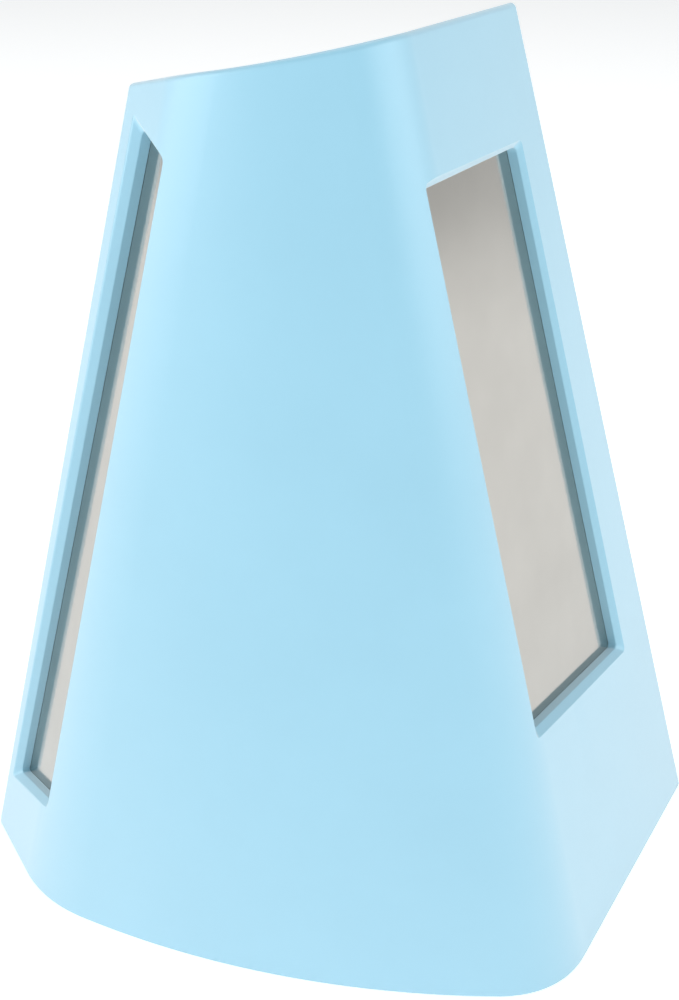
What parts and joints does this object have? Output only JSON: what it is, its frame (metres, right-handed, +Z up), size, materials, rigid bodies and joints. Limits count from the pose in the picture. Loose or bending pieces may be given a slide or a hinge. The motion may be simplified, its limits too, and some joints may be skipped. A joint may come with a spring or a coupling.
{
  "type": "corner rounder",
  "caption": "Upright corner-rounding press: tapered moulded hood with two steel-backed windows over a punch and die, thumb lever at the back, clippings drawer in the base.",
  "frame": {"origin": "on the floor under the middle of the bounding box", "axes": "+Z up; the hood's broad face looks towards -Y, and the lever, paper slot and drawer are at +Y; +X to the right as seen from -Y"},
  "size_m": [0.069, 0.0646, 0.08],
  "materials": {
    "blue_abs": "fine satin moulding",
    "deep_blue_abs": "fine satin moulding",
    "white_abs": "fine satin moulding",
    "satin_steel": "bead-blasted satin",
    "sheet_steel": "bright rolled sheet",
    "ground_tool_steel": "ground",
    "grey_rubber": "moulded matte",
    "spring_steel": "drawn wire",
    "zinc_plated_steel": "bright zinc plate"
  },
  "bodies": {
    "press": {"hood": "blue_abs", "left_window_plate": "satin_steel", "right_window_plate": "satin_steel", "rear_panel": "white_abs", "base": "white_abs", "foot_front_left": "grey_rubber", "foot_front_right": "grey_rubber", "foot_rear_left": "grey_rubber", "foot_rear_right": "grey_rubber", "die_plate": "ground_tool_steel", "fence_plate": "sheet_steel", "guide_plate": "sheet_steel", "guide_block": "ground_tool_steel", "cheek_left": "sheet_steel", "cheek_right": "sheet_steel", "stack_screw_1": "zinc_plated_steel", "stack_screw_2": "zinc_plated_steel", "stack_screw_3": "zinc_plated_steel", "stack_screw_4": "zinc_plated_steel", "tie_bar": "zinc_plated_steel", "stop_pin": "zinc_plated_steel", "pivot_pin": "zinc_plated_steel", "pivot_clip_left": "zinc_plated_steel", "pivot_clip_right": "zinc_plated_steel", "hood_screw_left": "zinc_plated_steel", "hood_screw_right": "zinc_plated_steel", "return_spring_left": "spring_steel", "return_spring_right": "spring_steel"},
    "lever_arm": {"lever": "deep_blue_abs", "lever_grip": "grey_rubber"},
    "ram": {"punch": "ground_tool_steel", "punch_carrier": "zinc_plated_steel", "punch_rivet": "zinc_plated_steel", "drive_pin": "zinc_plated_steel"},
    "drawer": {"chip_drawer": "deep_blue_abs"}
  },
  "joints": [
    {"name": "lever_hinge", "type": "hinge", "parent": "press", "child": "lever_arm", "pos_m": [0, -0.0207, 0.051], "axis": [-1, 0, 0], "range_deg": [0, 20], "stiffness_Nm_per_rad": 0.3, "springref_deg": -20.05},
    {"name": "ram_slide", "type": "slide", "parent": "press", "child": "ram", "axis": [0, 0, -1], "range_m": [0, 0.0036], "deforming": ["return_spring_left", "return_spring_right"]},
    {"name": "drawer_slide", "type": "slide", "parent": "press", "child": "drawer", "axis": [0, 1, 0], "range_m": [0, 0.03]}
  ],
  "couplings": [
    {"joint": "ram_slide", "follows": "lever_hinge", "m_per_rad": 0.0101}
  ]
}
